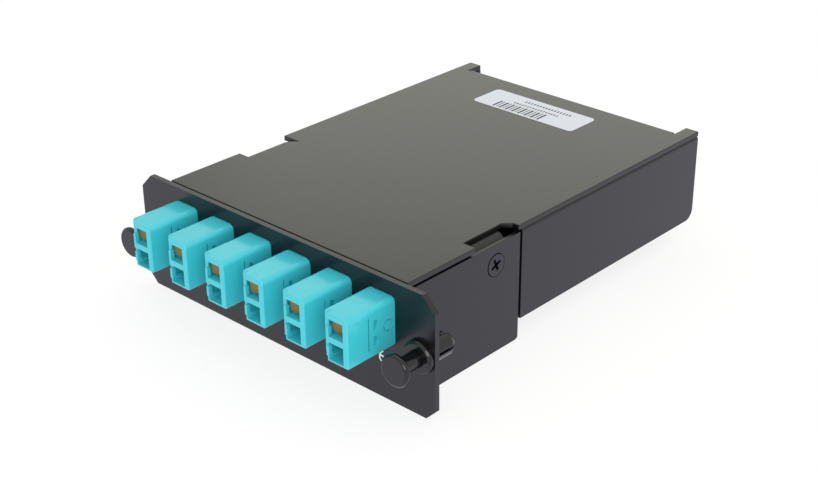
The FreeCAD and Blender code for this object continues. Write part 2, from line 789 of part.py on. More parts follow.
def plunger(side, x):
    """Nylon plunger, pulled out: a round head, a neck and a tapered tip."""
    face = "(-flange_sheet - plunger_stop_gap - plunger_travel - plunger_head)"
    under = f"({face} + plunger_head)"
    tip = "(plate_sheet + stud_length - plunger_stop_gap)"
    edge = "(plunger_head / 4)"
    profile = [
        ("0", face),
        (f"plunger_head_radius - {edge}", face),
        ("plunger_head_radius", f"{face} + {edge}"),
        ("plunger_head_radius", f"{under} - {edge}"),
        (f"plunger_head_radius - {edge}", under),
        (PLUNGER_RADIUS, under),
        (PLUNGER_RADIUS, f"{tip} - 2 * stud_taper"),
        (f"{PLUNGER_RADIUS} - stud_taper", tip),
        ("0", tip),
    ]
    return revolved(f"plunger_{side}", x, profile)


def wing_screw(side):
    """Countersunk cross-recessed screw, flush in the wing."""
    name = "right" if side > 0 else "left"
    sign = "" if side > 0 else "-"
    inward = "-x" if side > 0 else "x"
    start = (f"{sign}{SHELL}", SCREW_Y, SCREW_Z)
    head = screw_cone(side, f"screw_head_{name}", "0")
    shank = round_bar(f"screw_shank_{name}", start, inward, "screw_length", "screw_radius")
    whole = fuse(f"screw_blank_{name}", [head, shank])
    low_x = f"{SHELL} - screw_recess" if side > 0 else f"-{SHELL} - 1"
    high_x = f"{SHELL} + 1" if side > 0 else f"-{SHELL} + screw_recess"
    long = "(screw_head_radius * 0.55)"
    thin = "(screw_head_radius * 0.13)"
    bars = []
    for index, (along, rise) in enumerate(((long, thin), (thin, long))):
        bars.append(block(f"screw_cross_{name}_{index}",
                          (low_x, f"{SCREW_Y} - {along}", f"{SCREW_Z} - {rise}"),
                          (high_x, f"{SCREW_Y} + {along}", f"{SCREW_Z} + {rise}")))
    return cut(f"wing_screw_{name}", whole, bars)


def clinch_nut(side):
    """Round nut pressed on the inside of the tray wall behind each wing screw."""
    name = "right" if side > 0 else "left"
    sign = "" if side > 0 else "-"
    inward = "-x" if side > 0 else "x"
    start = (f"{sign}({FRONT_WALL} - side_sheet)", SCREW_Y, SCREW_Z)
    ring = round_bar(f"nut_blank_{name}", start, inward, "nut_length", "nut_radius")
    bore = round_bar(f"nut_bore_{name}", start, inward, "nut_length",
                     "screw_radius + nut_clearance")
    return cut(f"clinch_nut_{name}", ring, [bore])


def mpo_adapter():
    """Rear adapter, seated by its flange on the inside of the cover's skirt."""
    adapter = body("mpo_adapter", "mpo_offset", "mpo_height")
    half = "(mpo_width / 2)"
    rise = "(mpo_body_height / 2)"
    port_half = f"({MPO_PORT_WIDTH} / 2)"
    port_rise = f"({MPO_PORT_HEIGHT} / 2)"
    skirt_front = f"({COVER_REAR} - side_sheet)"
    slab(adapter, pad, "mpo_body", "XZ_Plane", MPO_FRONT, f"{MPO_REAR} - {MPO_FRONT}",
         (f"-{half}", half, f"-{rise}", rise))
    slab(adapter, pad, "mpo_flange", "XZ_Plane", f"{skirt_front} - mpo_flange_sheet",
         "mpo_flange_sheet",
         ("-(mpo_flange_width / 2)", "mpo_flange_width / 2", f"-{rise}", rise))
    slab(adapter, pocket, "mpo_rear_port", "XZ_Plane", f"{MPO_REAR} - mpo_port_depth",
         "mpo_port_depth", (f"-{port_half}", port_half, f"-{port_rise}", port_rise))
    slab(adapter, pocket, "mpo_front_port", "XZ_Plane", MPO_FRONT, "mpo_port_depth",
         (f"-{port_half}", port_half, f"-{port_rise}", port_rise))
    slab(adapter, pocket, "mpo_window", "XZ_Plane", MPO_FRONT, f"{MPO_REAR} - {MPO_FRONT}",
         ("-(ferrule_width / 2 + mpo_clearance)", "ferrule_width / 2 + mpo_clearance",
          "-(ferrule_height / 2 + mpo_clearance)", "ferrule_height / 2 + mpo_clearance"))
    slab(adapter, pocket, "mpo_key_slot", "XZ_Plane", f"{MPO_REAR} - mpo_port_depth",
         "mpo_port_depth", ("-ferrule_height / 2", "ferrule_height / 2", port_rise,
                            f"{port_rise} + mpo_clearance * 3"))
    round_edges(adapter, "mpo_corners", "adapter_edge", 1,
                lambda point: near(abs(point.x), half) and near(abs(point.z), rise))
    return adapter


def mpo_plug():
    """The ribbon's own plug, held in the front port of the MPO adapter."""
    plug = body("mpo_plug", "mpo_offset", "mpo_height")
    half = f"({MPO_PORT_WIDTH} / 2 - mpo_clearance)"
    rise = f"({MPO_PORT_HEIGHT} / 2 - mpo_clearance)"
    nose = f"({MPO_FRONT} + mpo_port_depth - plunger_stop_gap)"
    slab(plug, pad, "mpo_plug_shell", "XZ_Plane", f"{nose} - mpo_plug_length",
         "mpo_plug_length", (f"-{half}", half, f"-{rise}", rise))
    round_edges(plug, "mpo_plug_sides", "2 * adapter_edge", 1,
                lambda point: near(abs(point.x), half) and near(abs(point.z), rise))
    slab(plug, pad, "mpo_ferrule", "XZ_Plane", nose, "septum - plunger_stop_gap",
         ("-ferrule_width / 2", "ferrule_width / 2", "-ferrule_height / 2",
          "ferrule_height / 2"))
    pad(plug, "mpo_boot", "XZ_Plane", f"{nose} - mpo_plug_length - mpo_boot_length",
        "mpo_boot_length", lambda sketch: circle(sketch, "0", "0", "boot_radius * 1.4"))
    return plug


def tube_along(points, radius):
    """A round tube along straight runs joined by tangent arcs."""
    edges = []
    start = points[0]
    for before, corner, after in zip(points, points[1:], points[2:]):
        back = (before - corner).normalize()
        ahead = (after - corner).normalize()
        reach = 0.45 * min((before - corner).Length, (after - corner).Length)
        first = corner + back * reach
        last = corner + ahead * reach
        turn = math.pi - back.getAngle(ahead)
        bend = reach / math.tan(turn / 2)
        centre = corner + (back + ahead).normalize() * (bend / math.cos(turn / 2))
        middle = centre + (corner - centre).normalize() * bend
        edges.append(Part.LineSegment(start, first).toShape())
        edges.append(Part.Arc(first, middle, last).toShape())
        start = last
    edges.append(Part.LineSegment(start, points[-1]).toShape())
    path = Part.Wire(edges)
    ring = Part.Wire(Part.makeCircle(radius, points[0], points[1] - points[0]))
    return path.makePipeShell([ring], True, True)


def loop_path(level):
    """Middle line of the stored fibre loop: a rectangle with large round corners."""
    half = size("loop_width") / 2
    front = size(LOOP_FRONT)
    back = front + size(LOOP_LENGTH)
    corner = size("loop_corner")
    lean = corner * (1 - math.sqrt(0.5))
    edges = []
    for turn in range(2):
        flip = 1 if turn == 0 else -1
        middle = (front + back) / 2

        def spot(x, y):
            return V(x * flip, middle + (y - middle) * flip, level)
        points = [
            (spot(corner - half, front), None, spot(half - corner, front)),
            (spot(half - corner, front), spot(half - lean, front + lean),
             spot(half, front + corner)),
            (spot(half, front + corner), None, spot(half, back - corner)),
            (spot(half, back - corner), spot(half - lean, back - lean),
             spot(half - corner, back)),
        ]
        for first, through, last in points:
            if through is None:
                edges.append(Part.LineSegment(first, last).toShape())
            else:
                edges.append(Part.Arc(first, through, last).toShape())
    return Part.Wire(edges)


def fibre_harness():
    """Stored loop of bare fibre with a lead to each LC plug and one to the MPO plug."""
    level = size(FLOOR_TOP) + size("loop_radius") + size("guide_clearance")
    path = loop_path(level)
    half = size("loop_width") / 2
    front = size(LOOP_FRONT)
    corner = size("loop_corner")
    ring = Part.Wire(Part.makeCircle(size("loop_radius"), V(corner - half, front, level),
                                     V(1, 0, 0)))
    pieces = [path.makePipeShell([ring], True, True)]
    lean = corner * (1 - math.sqrt(0.5))
    boot_end = size(SEPTUM_BACK) + size("holder_length") + size("plunger_stop_gap")
    boot_end += size("plug_length") + size("boot_length")
    joins = {3: (half, front + corner), 2: (half - lean, front + lean), 1: (half - corner, front)}
    count = DIMENSIONS["adapter_count"]
    for number in range(1, count + 1):
        rank = abs(2 * number - count - 1)
        side = 1 if 2 * number > count + 1 else -1
        nearest = min(joins, key=lambda key: abs(key - (rank + 1) / 2))
        join_x, join_y = joins[nearest]
        across = size(adapter_x(number)) + size(f"{PORT_LEFT} + port_width / 2")
        for step in (0, 1):
            rise = size(ADAPTER_BOTTOM) + size(port_middle(step))
            start = V(across, boot_end, rise)
            clear = V(across, boot_end + size("boot_length"), rise)
            end = V(side * join_x, join_y, level)
            pieces.append(tube_along([start, clear, end], size("fibre_radius")))
    return part_shape("fibre_harness", pieces[0].multiFuse(pieces[1:]))


def ribbon_lead():
    """The flat ribbon's sleeve from the fan-out block to the MPO plug's boot."""
    start = size(MPO_FRONT) + size("mpo_port_depth - plunger_stop_gap")
    start -= size("mpo_plug_length") + size("mpo_boot_length")
    level = size(FLOOR_TOP) + size("loop_radius") + size("guide_clearance")
    join = V(-size("loop_width") / 2, size(LOOP_FRONT) + size(LOOP_LENGTH)
             - size("loop_corner"), level)
    first = V(size("mpo_offset"), start, size("mpo_height"))
    clear = V(size("mpo_offset"), start - size("boot_length") / 2, size("mpo_height"))
    stop = size("loop_radius + 2 * fibre_radius + lead_clearance")
    end = join + (clear - join).normalize() * stop
    return part_shape("ribbon_lead", tube_along([first, clear, end],
                                                size("fibre_radius") * 2))


def fibre_guide(side):
    """Half-round wall that the loop lies round, with lips that keep the fibre down."""
    name = "right" if side > 0 else "left"
    outer = size("loop_corner") - size("loop_radius") - size("guide_clearance")
    inner = outer - size("guide_sheet")
    centre = V(side * (size("loop_width") / 2 - size("loop_corner")),
               size(LOOP_FRONT) + size(LOOP_LENGTH) / 2, size(FLOOR_TOP))
    reach = size(LOOP_LENGTH) / 2 - size("loop_corner")
    height = size("guide_height")
    shells = []
    for radius in (outer, inner):
        ends = [Part.makeCylinder(radius, height, centre + V(0, shift, 0))
                for shift in (-reach, reach)]
        between = Part.makeBox(2 * radius, 2 * reach, height, centre - V(radius, reach, 0))
        shells.append(ends[0].fuse(ends[1]).fuse(between))
    wall = shells[0].cut(shells[1])
    keep = Part.makeBox(outer, 4 * outer, height,
                        centre + V(0 if side > 0 else -outer, -2 * outer, 0))
    wall = wall.common(keep)
    lip_low = 2 * size("loop_radius") + 2 * size("guide_clearance")
    lip_out = 2 * size("loop_radius") + size("guide_clearance")
    width = size("tab_width")
    for angle in (-60, 0, 60):
        arm = Part.makeBox(lip_out + size("guide_sheet") / 2, width, size("guide_sheet"),
                           V(outer - size("guide_sheet") / 2, -width / 2, 0))
        arm.rotate(V(0, 0, 0), V(0, 0, 1), angle if side > 0 else 180 - angle)
        end_shift = reach if angle > 0 else -reach if angle < 0 else 0
        arm.translate(centre + V(0, end_shift, lip_low))
        wall = wall.fuse(arm)
    return part_shape(f"fibre_guide_{name}", wall.removeSplitter())


def cover_label():
    """Thin paper label with round corners near the rear of the cover."""
    label = body("cover_label", "label_offset", COVER_TOP)
    rear = f"({COVER_REAR} - label_rear_gap)"
    half = "(label_width / 2)"
    slab(label, pad, "label_paper", "XY_Plane", "0", "label_sheet",
         (f"-{half}", half, f"{rear} - label_depth", rear))
    round_edges(label, "label_corners", "label_corner", 2, lambda point: True)
    return label


pieces = [face_plate(), front_bracket(), rear_tray(), top_cover(), cover_label()]
for number in range(1, DIMENSIONS["adapter_count"] + 1):
    pieces.append(lc_adapter(number))
    pieces.append(port_inserts(number))
    pieces.append(alignment_sleeves(number))
    pieces.append(port_leaf(number))
    pieces.append(lc_plugs(number))
for side, x in (("left", f"-{FASTENER_X}"), ("right", FASTENER_X)):
    pieces.append(grommet(side, x))
    pieces.append(plunger(side, x))
for side in (-1, 1):
    pieces.append(wing_screw(side))
    pieces.append(clinch_nut(side))
    pieces.append(fibre_guide(side))
pieces += [mpo_adapter(), mpo_plug(), fibre_harness(), ribbon_lead()]

doc.recompute()
for item in doc.Objects:
    if "Invalid" in item.State or "Error" in item.State:
        raise RuntimeError(f"{item.Name} failed: {item.State}")
os.makedirs("parts", exist_ok=True)
for piece in pieces:
    if piece.Shape.isNull() or not piece.Shape.isValid():
        raise RuntimeError(piece.Label + " has no valid shape")
    piece.Shape.exportStep(f"parts/{piece.Label}.step")
    box = piece.Shape.BoundBox
    print(f"{piece.Label}: solids {len(piece.Shape.Solids)}, volume {piece.Shape.Volume:.1f}, "
          f"x {box.XMin:.2f}..{box.XMax:.2f}, y {box.YMin:.2f}..{box.YMax:.2f}, "
          f"z {box.ZMin:.2f}..{box.ZMax:.2f}")
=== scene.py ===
# Fibre cassette in a folded, powder coated steel case. Everything is in metres, in the
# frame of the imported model: X along the face plate, Y from the ports to the rear, Z up.
import bpy
import bmesh
import math
from mathutils import Matrix, Vector


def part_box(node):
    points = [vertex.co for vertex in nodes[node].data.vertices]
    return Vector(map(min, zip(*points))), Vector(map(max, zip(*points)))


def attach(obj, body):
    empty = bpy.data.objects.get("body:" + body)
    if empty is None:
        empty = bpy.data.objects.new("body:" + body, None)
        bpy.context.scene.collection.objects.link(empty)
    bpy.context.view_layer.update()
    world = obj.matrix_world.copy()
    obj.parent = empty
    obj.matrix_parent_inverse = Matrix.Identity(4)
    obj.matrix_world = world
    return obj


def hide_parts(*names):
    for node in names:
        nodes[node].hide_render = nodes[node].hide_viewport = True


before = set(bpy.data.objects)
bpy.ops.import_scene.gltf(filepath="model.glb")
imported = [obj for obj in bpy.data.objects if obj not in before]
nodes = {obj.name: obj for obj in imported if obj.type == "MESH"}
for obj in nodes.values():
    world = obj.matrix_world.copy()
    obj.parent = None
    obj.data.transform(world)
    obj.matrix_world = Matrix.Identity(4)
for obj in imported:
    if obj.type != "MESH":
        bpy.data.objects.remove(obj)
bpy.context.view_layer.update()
scene = bpy.context.scene
mm = 0.001
cassette = "cassette"
adapterNumbers = range(1, 7)
print("frame loaded:", len(nodes), "nodes")


def hexColour(code):
    # sRGB hex to the linear values that a shader wants
    channels = [int(code[i:i + 2], 16) / 255 for i in (1, 3, 5)]
    return tuple(c / 12.92 if c <= 0.04045 else ((c + 0.055) / 1.055) ** 2.4
                 for c in channels) + (1.0,)


def addNode(tree, kind, settings=None, links=None):
    # settings: attribute names or socket names; links: socket -> (node, output)
    node = tree.nodes.new(kind)
    for key, value in (settings or {}).items():
        if isinstance(key, str) and hasattr(node, key) and key not in node.inputs:
            setattr(node, key, value)
        else:
            node.inputs[key].default_value = value
    for key, (source, output) in (links or {}).items():
        tree.links.new(source.outputs[output], node.inputs[key])
    return node


def newMaterial(name):
    material = bpy.data.materials.new(name)
    material.use_nodes = True
    tree = material.node_tree
    tree.nodes.clear()
    return material, tree


def finishMaterial(tree, shader):
    addNode(tree, "ShaderNodeOutputMaterial", links={"Surface": (shader, "BSDF")})


def objectPlace(tree):
    return addNode(tree, "ShaderNodeTexCoord"), "Object"


def noiseOf(tree, place, sizeMm, detail=2.0, roughness=0.5):
    return addNode(tree, "ShaderNodeTexNoise",
                   {"Scale": 1 / (sizeMm * mm), "Detail": detail, "Roughness": roughness},
                   {"Vector": place})


mixSockets = {"first": 6, "second": 7, "result": 2}     # the colour sockets of a Mix node


def mixedColour(tree, factor, first, second):
    mix = addNode(tree, "ShaderNodeMix", {"data_type": "RGBA"}, {"Factor": factor})
    mix.inputs[mixSockets["first"]].default_value = first
    mix.inputs[mixSockets["second"]].default_value = second
    return mix, mixSockets["result"]


def spreadRoughness(tree, noise, low, high):
    spread = addNode(tree, "ShaderNodeMapRange", {"To Min": low, "To Max": high},
                     {"Value": (noise, "Fac")})
    return spread, "Result"


powderCoat = {
    "paintedGrainSheen": "#151416",       # painted sheen: the coat lighter on the grain crests, as if the light fell straight on them
    "paintedGrainShade": "#0e0d0f",      # painted shade: the coat darker in the hollows between the grains
    "grainMm": 0.8,           # real grains are near 0.1 mm: drawn coarser so that they show
    "grainDetail": 3.0,
    "grainRoughness": 0.6,
    "grainDepthMm": 0.017,
    "bumpStrength": 0.35,
    "roughness": 0.28,
    "ior": 1.5,
}


def powderCoatedSteel(name, recipe):
    # polyester powder, baked on: a fine orange-peel skin that breaks highlights up softly
    material, tree = newMaterial(name)
    grain = noiseOf(tree, objectPlace(tree), recipe["grainMm"], recipe["grainDetail"],
                    recipe["grainRoughness"])
    # the noise that raises the grain bump also sets the colour: painted sheen on the crests,
    # painted shade in the hollows
    colour = mixedColour(tree, (grain, "Fac"), hexColour(recipe["paintedGrainShade"]),
                         hexColour(recipe["paintedGrainSheen"]))
    relief = addNode(tree, "ShaderNodeBump",
                     {"Strength": recipe["bumpStrength"],
                      "Distance": recipe["grainDepthMm"] * mm},
                     {"Height": (grain, "Fac")})
    shader = addNode(tree, "ShaderNodeBsdfPrincipled",
                     {"Roughness": recipe["roughness"], "IOR": recipe["ior"]},
                     {"Base Color": colour, "Normal": (relief, "Normal")})
    finishMaterial(tree, shader)
    return material


mouldedPlastics = {
    "aquaPbt": {"colour": "#42c3d1", "shade": "#3abbca", "roughness": 0.2, "grainMm": 0.9,
                "depthMm": 0.004, "waveMm": 2.2, "waveDepthMm": 0.06},
    "blackNylon": {"colour": "#101013", "shade": "#0c0c0e", "roughness": 0.16, "grainMm": 0.7,
                   "depthMm": 0.004, "waveMm": 4.0, "waveDepthMm": 0.02},
    "blackPbt": {"colour": "#18181b", "shade": "#131316", "roughness": 0.4, "grainMm": 0.6,
                 "depthMm": 0.008, "waveMm": 5.0, "waveDepthMm": 0.01},
}
mouldedSkin = {
    "flowMm": 6.0,            # patches of slightly different colour
    "waveDetail": 1.0,
    "waveStrength": 0.5,
    "grainStrength": 0.25,
    "ior": 1.5,
}


def mouldedPlastic(name, recipe):
    # injection moulded: even colour, a glossy skin that sinks a little where it cooled last
    material, tree = newMaterial(name)
    place = objectPlace(tree)
    flow = noiseOf(tree, place, mouldedSkin["flowMm"])
    grain = noiseOf(tree, place, recipe["grainMm"])
    wave = noiseOf(tree, place, recipe["waveMm"], mouldedSkin["waveDetail"])
    colour = mixedColour(tree, (flow, "Fac"), hexColour(recipe["shade"]),
                         hexColour(recipe["colour"]))
    sink = addNode(tree, "ShaderNodeBump",
                   {"Strength": mouldedSkin["waveStrength"],
                    "Distance": recipe["waveDepthMm"] * mm},
                   {"Height": (wave, "Fac")})
    relief = addNode(tree, "ShaderNodeBump",
                     {"Strength": mouldedSkin["grainStrength"],
                      "Distance": recipe["depthMm"] * mm},
                     {"Height": (grain, "Fac"), "Normal": (sink, "Normal")})
    shader = addNode(tree, "ShaderNodeBsdfPrincipled",
                     {"Roughness": recipe["roughness"], "IOR": mouldedSkin["ior"]},
                     {"Base Color": colour, "Normal": (relief, "Normal")})
    finishMaterial(tree, shader)
    return material


metalStreaks = {
    "stretch": (1, 0.08, 1),  # drawn out along Y
    "detail": 3.0,
    "smoother": 0.8,          # times the metal's roughness
    "rougher": 1.25,
}


def simpleMetal(name, colour, roughness, streakMm):
    # rolled or plated metal with faint lengthwise streaks
    material, tree = newMaterial(name)
    stretch = addNode(tree, "ShaderNodeMapping", {"Scale": metalStreaks["stretch"]},
                      {"Vector": objectPlace(tree)})
    streaks = noiseOf(tree, (stretch, "Vector"), streakMm, metalStreaks["detail"])
    spread = spreadRoughness(tree, streaks, roughness * metalStreaks["smoother"],
                             roughness * metalStreaks["rougher"])
    shader = addNode(tree, "ShaderNodeBsdfPrincipled",
                     {"Base Color": hexColour(colour), "Metallic": 1.0},
                     {"Roughness": spread})
    finishMaterial(tree, shader)
    return material


labelStock = {
    "fibre": "#c6cad4",
    "coating": "#cfd3dd",
    "fibreMm": 0.8,
    "fibreDetail": 5.0,
    "roughness": 0.5,
    "ior": 1.45,
}


def paperStock(name, recipe):
    # coated label paper: white, faint fibre, slight gloss from the coating
    material, tree = newMaterial(name)
    fibre = noiseOf(tree, objectPlace(tree), recipe["fibreMm"], recipe["fibreDetail"])
    colour = mixedColour(tree, (fibre, "Fac"), hexColour(recipe["fibre"]),
                         hexColour(recipe["coating"]))
    shader = addNode(tree, "ShaderNodeBsdfPrincipled",
                     {"Roughness": recipe["roughness"], "IOR": recipe["ior"]},
                     {"Base Color": colour})
    finishMaterial(tree, shader)
    return material


inkSpeckle = {"sizeMm": 0.3, "smoother": 0.85, "rougher": 1.15}


def plainInk(name, colour, roughness):
    # one colour, its gloss a little uneven
    material, tree = newMaterial(name)
    speckle = noiseOf(tree, objectPlace(tree), inkSpeckle["sizeMm"])
    spread = spreadRoughness(tree, speckle, roughness * inkSpeckle["smoother"],
                             roughness * inkSpeckle["rougher"])
    shader = addNode(tree, "ShaderNodeBsdfPrincipled", {"Base Color": hexColour(colour)},
                     {"Roughness": spread})
    finishMaterial(tree, shader)
    return material


steelCoat = powderCoatedSteel("blackPowderCoatedSteel", powderCoat)
aquaPbt = mouldedPlastic("aquaMouldedPbt", mouldedPlastics["aquaPbt"])
blackNylon = mouldedPlastic("blackMouldedNylon", mouldedPlastics["blackNylon"])
blackPbt = mouldedPlastic("blackMouldedPbt", mouldedPlastics["blackPbt"])
bronzeStrip = simpleMetal("phosphorBronzeStrip", "#8f7c4c", 0.45, 0.4)
zincScrew = simpleMetal("blackZincScrew", "#4a494e", 0.36, 0.3)
nutSteel = simpleMetal("zincPlatedSteel", "#b9b9b6", 0.35, 0.4)
zirconia = plainInk("groundZirconia", "#f2f1ea", 0.2)
labelPaper = paperStock("coatedLabelPaper", labelStock)
labelInk = plainInk("labelPrintInk", "#2c2d33", 0.5)
plateInk = plainInk("whiteScreenInk", "#f4f4f4", 0.45)
print("materials made")

nodeFinish = {
    "face_plate": steelCoat, "front_bracket": steelCoat, "rear_tray": steelCoat,
    "top_cover": steelCoat, "cover_label": labelPaper, "wing_screw": zincScrew,
    "lc_adapter": aquaPbt, "port_inserts": aquaPbt, "lc_plugs": aquaPbt,
    "alignment_sleeves": zirconia, "port_leaf": bronzeStrip, "grommet": blackNylon,
    "plunger": blackNylon, "fibre_guide": blackPbt, "fibre_harness": aquaPbt,
    "ribbon_lead": aquaPbt, "mpo_adapter": blackPbt, "mpo_plug": blackPbt,
    "clinch_nut": nutSteel,
}


def settingFor(name, settings):
    # the value whose key begins the piece's name
    for start, value in settings.items():
        if name.startswith(start):
            return value
    return None


def finishFor(name):
    material = settingFor(name, nodeFinish)
    if material is None:
        raise ValueError("no finish for " + name)
    return material


for name, node in nodes.items():
    node.data.materials.clear()
    node.data.materials.append(finishFor(name))

edgeRounding = {              # mm
    "face_plate": 0.28, "front_bracket": 0.2, "rear_tray": 0.25, "top_cover": 0.3,
    "lc_adapter": 0.12, "grommet": 0.18, "plunger": 0.25, "wing_screw": 0.08,
    "mpo_adapter": 0.15, "port_inserts": 0.08,
}
meshCare = {
    "merge": 0.002,           # mm between points that are one
    "meltAngle": 0.5,         # degrees between faces that are one
    "near": 0.01,             # mm within which a point lies on a face
    "hair": 0.0001,           # mm, below any real step
    "bevelSteps": 2,
    "bevelAngle": 40,         # degrees
    "sharpAngle": 32,         # degrees
    "flatWeight": 80,         # keeps the wide faces flat
}
near = meshCare["near"] * mm
hair = meshCare["hair"] * mm


def mergeFlatFaces(mesh):
    bmesh.ops.remove_doubles(mesh, verts=mesh.verts, dist=meshCare["merge"] * mm)
    bmesh.ops.dissolve_limit(mesh, angle_limit=math.radians(meshCare["meltAngle"]),
                             verts=mesh.verts, edges=mesh.edges)


def joinedCopy(name):
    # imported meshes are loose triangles: merge them and melt flat faces together again
    mesh = bmesh.new()
    mesh.from_mesh(nodes[name].data)
    mergeFlatFaces(mesh)
    return mesh


def objectFrom(mesh, name):
    data = bpy.data.meshes.new(name)
    mesh.to_mesh(data)
    mesh.free()
    made = bpy.data.objects.new(name, data)
    scene.collection.objects.link(made)
    return made


def closeSolid(mesh, first, second):
    # caps two like rings of points and joins them with a wall
    mesh.faces.new(first)
    mesh.faces.new(list(reversed(second)))
    for i in range(len(first)):
        j = (i + 1) % len(first)
        mesh.faces.new((first[j], first[i], second[i], second[j]))


adapterMarks = {
    "depth": 0.35,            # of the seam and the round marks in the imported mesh
    "seamDepth": 1.25,        # the seam goes most of the way into the wall
    "seamEnd": 7.6,
    "low": 1.5,
    "high": 11.2,
    "ringDepth": 0.15,
    "seenRingDepth": 0.4,
}


def deepenMarks(mesh, name):
    # cuts the seam deep and closes the round marks, which are cut again as half moons
    low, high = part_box(name)
    size = {key: value * mm for key, value in adapterMarks.items()}
    floorOfMarks = high[0] - size["depth"]
    floorOfRing = high[0] - size["ringDepth"]
    for vert in mesh.verts:
        if size["low"] < vert.co.z - low[2] < size["high"]:
            if abs(vert.co.x - floorOfMarks) < near:
                isSeam = vert.co.y - low[1] < size["seamEnd"]
                vert.co.x = high[0] - (size["seamDepth"] if isSeam else 0)
            elif abs(vert.co.x - floorOfRing) < near:
                vert.co.x = high[0] - size["seenRingDepth"]
    mergeFlatFaces(mesh)


halfMoons = {
    "radius": 1.35,
    "flat": 0.3,              # from the centre to the straight side
    "setback": 9.0,           # of the centre from the adapter's front
    "depth": 1.3,
    "levels": (3.9, 8.35),
    "steps": 14,
}


def halfMoonRing(mesh, x, y, z):
    radius, flat = halfMoons["radius"] * mm, halfMoons["flat"] * mm
    turn = math.acos(-flat / radius)
    ring = []
    for step in range(halfMoons["steps"] + 1):
        angle = turn * (2 * step / halfMoons["steps"] - 1)
        ring.append(mesh.verts.new((x, y + radius * math.cos(angle),
                                    z + radius * math.sin(angle))))
    return ring


def halfMoonCutter(name):
    low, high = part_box(name)
    depth = halfMoons["depth"] * mm
    y = low[1] + halfMoons["setback"] * mm
    mesh = bmesh.new()
    for level in halfMoons["levels"]:
        z = low[2] + level * mm
        inner = halfMoonRing(mesh, high[0] - depth, y, z)
        outer = halfMoonRing(mesh, high[0] + depth, y, z)
        closeSolid(mesh, inner, outer)
    bmesh.ops.recalc_face_normals(mesh, faces=mesh.faces)
    return objectFrom(mesh, "halfMoonCutter")


wingCorners = {"radius": 3.0, "seenRadius": 1.2, "near": 0.02}


def tightenWingCorners(mesh, name):
    # the lower rear corner of each wing is broken by a small radius
    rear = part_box(name)[1][1]
    old, new = wingCorners["radius"] * mm, wingCorners["seenRadius"] * mm
    for vert in mesh.verts:
        arm = Vector((vert.co.y - (rear - old), vert.co.z - old))
        isInCorner = arm.x > -hair and arm.y < hair
        if isInCorner and abs(arm.length - old) < wingCorners["near"] * mm:
            arm *= new / old
            vert.co.y = rear - new + arm.x
            vert.co.z = new + arm.y


latchCatches = {
    "reach": 1.3,             # from the front of the inserts
    "drop": 1.1,
    "split": 5.6,             # height between the lower catch and the upper one
}


def trimCatches(mesh, name):
    # the latch slot stays open above each catch
    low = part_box(name)[0]
    blocks = [v for v in mesh.verts if v.co.y < low[1] + latchCatches["reach"] * mm]
    middle = low[2] + latchCatches["split"] * mm
    lower = [v for v in blocks if v.co.z < middle]
    upper = [v for v in blocks if v.co.z >= middle]
    for half in (lower, upper):
        top = max(v.co.z for v in half)
        for vert in half:
            if top - vert.co.z < near:
                vert.co.z -= latchCatches["drop"] * mm


plateOpenings = {
    "corner": 1.55,
    "reach": 0.4,             # from an adapter's corner to the opening's
    "steps": 6,
}


def openingEdges(mesh, corners):
    # edges through the plate that stand near one of the corners
    reach = plateOpenings["reach"] * mm
    found = []
    for edge in mesh.edges:
        a, b = (vert.co for vert in edge.verts)
        if abs(a.x - b.x) < hair and abs(a.z - b.z) < hair:
            if any(abs(a.x - x) < reach and abs(a.z - z) < reach for x, z in corners):
                found.append(edge)
    return found


def roundOpenings(mesh, name):
    # the plate's openings follow the adapters' rounded corners
    chosen = []
    for number in adapterNumbers:
        low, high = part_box(f"lc_adapter_{number}")
        corners = ((low[0], high[2]), (high[0], high[2]), (low[0], low[2]))
        chosen += openingEdges(mesh, corners)
    bmesh.ops.bevel(mesh, geom=chosen, offset=plateOpenings["corner"] * mm,
                    offset_type="OFFSET", segments=plateOpenings["steps"], profile=0.5,
                    affect="EDGES", clamp_overlap=True)
    print("opening corners rounded:", len(chosen))


screwSeat = {
    "turn": 24,               # degrees, as the driver left it
    "head": 3.3,
    "rim": 0.05,
    "groove": 0.3,
}


def settleScrew(mesh, name):
    # the head sits in its countersink with a thin dark ring around it
    low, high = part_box(name)
    centre = (Vector(low) + Vector(high)) / 2
    turn = Matrix.Rotation(math.radians(screwSeat["turn"]), 3, "X")
    for vert in mesh.verts:
        arm = turn @ Vector((0, vert.co.y - centre.y, vert.co.z - centre.z))
        if arm.length > (screwSeat["head"] - screwSeat["rim"]) * mm:
            arm *= 1 - screwSeat["groove"] / screwSeat["head"]
        vert.co.y = centre.y + arm.y
        vert.co.z = centre.z + arm.z


reshaping = {
    "wing_screw": settleScrew, "lc_adapter": deepenMarks, "port_inserts": trimCatches,
    "front_bracket": tightenWingCorners, "face_plate": roundOpenings,
}


def bakeModifiers(piece):
    bpy.context.view_layer.update()
    evaluated = piece.evaluated_get(bpy.context.evaluated_depsgraph_get())
    baked = bpy.data.meshes.new_from_object(evaluated)
    piece.modifiers.clear()
    piece.data = baked


def cutHalfMoons(piece, name):
    cutter = halfMoonCutter(name)
    marks = piece.modifiers.new("marks", "BOOLEAN")
    marks.operation = "DIFFERENCE"
    marks.solver = "EXACT"
    marks.object = cutter
    bakeModifiers(piece)
    bpy.data.objects.remove(cutter)


def breakEdges(piece, width):
    bevel = piece.modifiers.new("edge", "BEVEL")
    bevel.width = width * mm
    bevel.segments = meshCare["bevelSteps"]
    bevel.limit_method = "ANGLE"
    bevel.angle_limit = math.radians(meshCare["bevelAngle"])
    bevel.use_clamp_overlap = True
    bevel.harden_normals = False
    bakeModifiers(piece)


def evenShading(piece):
    for face in piece.data.polygons:
        face.use_smooth = True
    piece.data.set_sharp_from_angle(angle=math.radians(meshCare["sharpAngle"]))
    even = piece.modifiers.new("even", "WEIGHTED_NORMAL")
    even.keep_sharp = True
    even.weight = meshCare["flatWeight"]
    bakeModifiers(piece)


